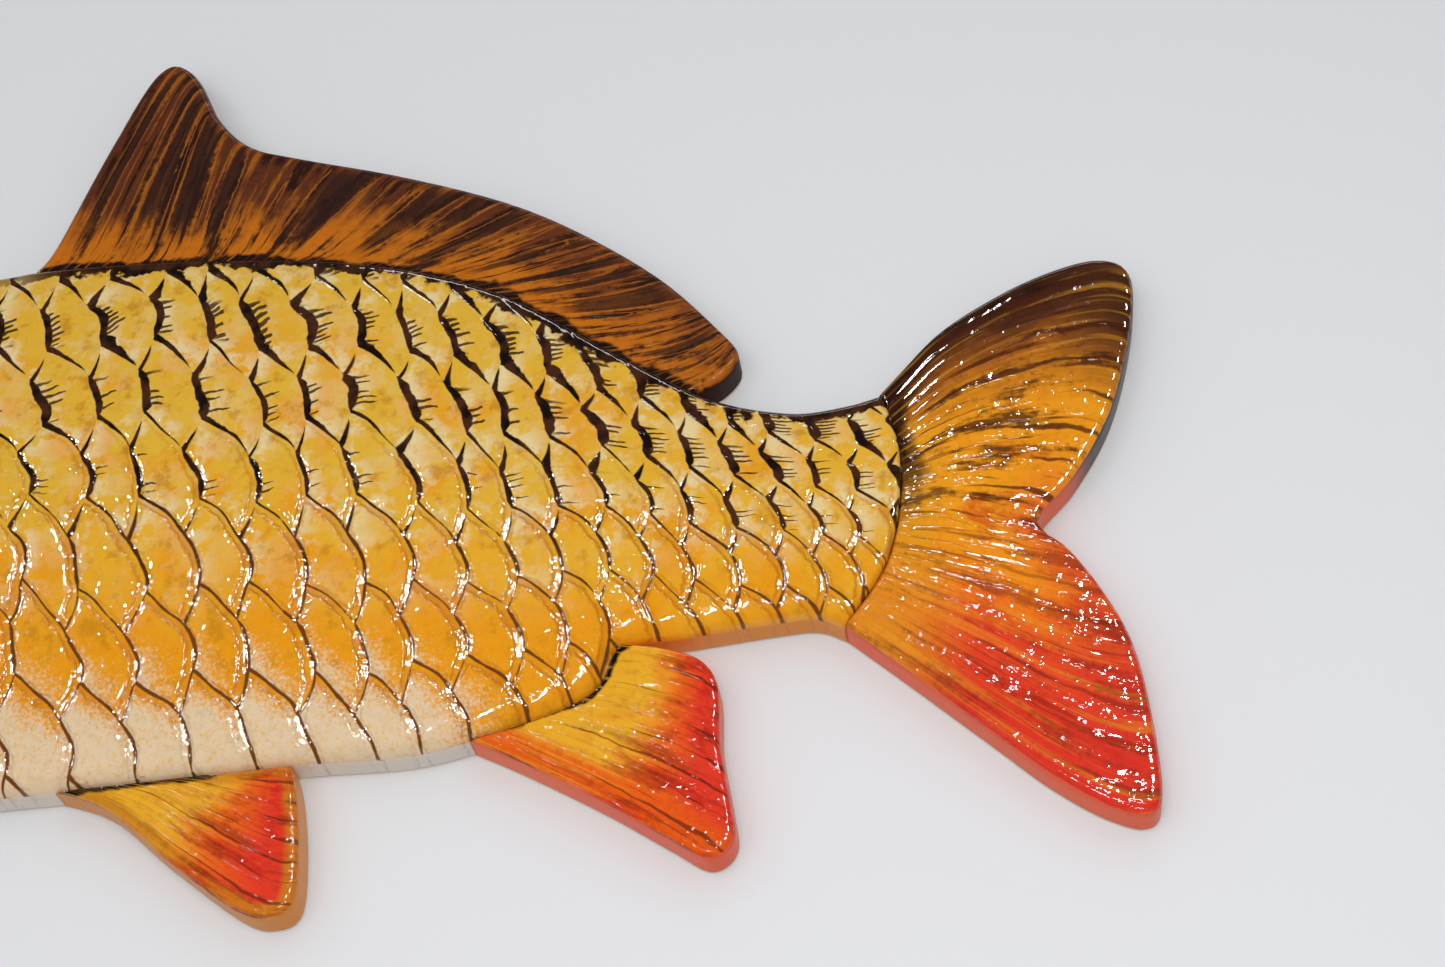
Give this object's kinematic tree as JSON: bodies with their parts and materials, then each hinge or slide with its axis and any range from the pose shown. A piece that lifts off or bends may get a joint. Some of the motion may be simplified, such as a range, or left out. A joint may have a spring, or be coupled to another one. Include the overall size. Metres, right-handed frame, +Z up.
{
  "type": "carved fish wall plaque",
  "caption": "Relief-carved, painted and gloss-varnished wooden carp wall plaque: flat-backed trunk with dowelled fins, glass eye and two hinged D rings let into the back.",
  "frame": {"origin": "the hanging line: midway between the two hooks' bearing points, on the plane of the wooden back", "axes": "+Z up the wall towards the dorsal fin, +X from the head towards the tail, +Y out of the back towards the wall; the carved front looks along -Y"},
  "size_m": [0.6, 0.0213, 0.327],
  "materials": {
    "trunk_paint": "carved wood, painted golden yellow to cream with dark brown scale lines, thick gloss varnish",
    "dorsal_paint": "carved wood, painted dark brown over ochre rays, gloss varnish",
    "tail_paint": "carved wood, painted orange to red with dark rays, gloss varnish",
    "lower_fin_paint": "carved wood, painted amber to orange-red with dark rays, gloss varnish",
    "iris_paint": "painted iris with a black pupil",
    "eye_glass": "clear polished glass",
    "beech": "plain turned beech",
    "steel": "zinc-plated steel wire",
    "strap_metal": "brass-plated pressed strip",
    "felt": "brown felt"
  },
  "bodies": {
    "fish": {"trunk": "trunk_paint", "dorsal_fin": "dorsal_paint", "tail_fin": "tail_paint", "anal_fin": "lower_fin_paint", "pelvic_fin": "lower_fin_paint", "pectoral_fin": "lower_fin_paint", "eye_iris": "iris_paint", "eye_glass": "eye_glass", "dowel_dorsal_fin_1": "beech", "dowel_dorsal_fin_2": "beech", "dowel_dorsal_fin_3": "beech", "dowel_tail_fin_1": "beech", "dowel_tail_fin_2": "beech", "dowel_anal_fin_1": "beech", "dowel_anal_fin_2": "beech", "dowel_pelvic_fin_1": "beech", "dowel_pelvic_fin_2": "beech", "dowel_pectoral_fin_1": "beech", "dowel_pectoral_fin_2": "beech", "strap_head": "strap_metal", "strap_tail": "strap_metal", "screw_head_1": "steel", "screw_head_2": "steel", "screw_tail_1": "steel", "screw_tail_2": "steel", "felt_pad_1": "felt", "felt_pad_2": "felt", "felt_pad_3": "felt", "felt_pad_4": "felt"},
    "head_ring": {"ring_head": "steel"},
    "tail_ring": {"ring_tail": "steel"}
  },
  "joints": [
    {"name": "head_ring_swing", "type": "hinge", "parent": "fish", "child": "head_ring", "pos_m": [-0.09, -0.0033, -0.01425], "axis": [-1, 0, 0], "range_deg": [0, 150]},
    {"name": "tail_ring_swing", "type": "hinge", "parent": "fish", "child": "tail_ring", "pos_m": [0.09, -0.0033, -0.01425], "axis": [-1, 0, 0], "range_deg": [0, 150]}
  ]
}
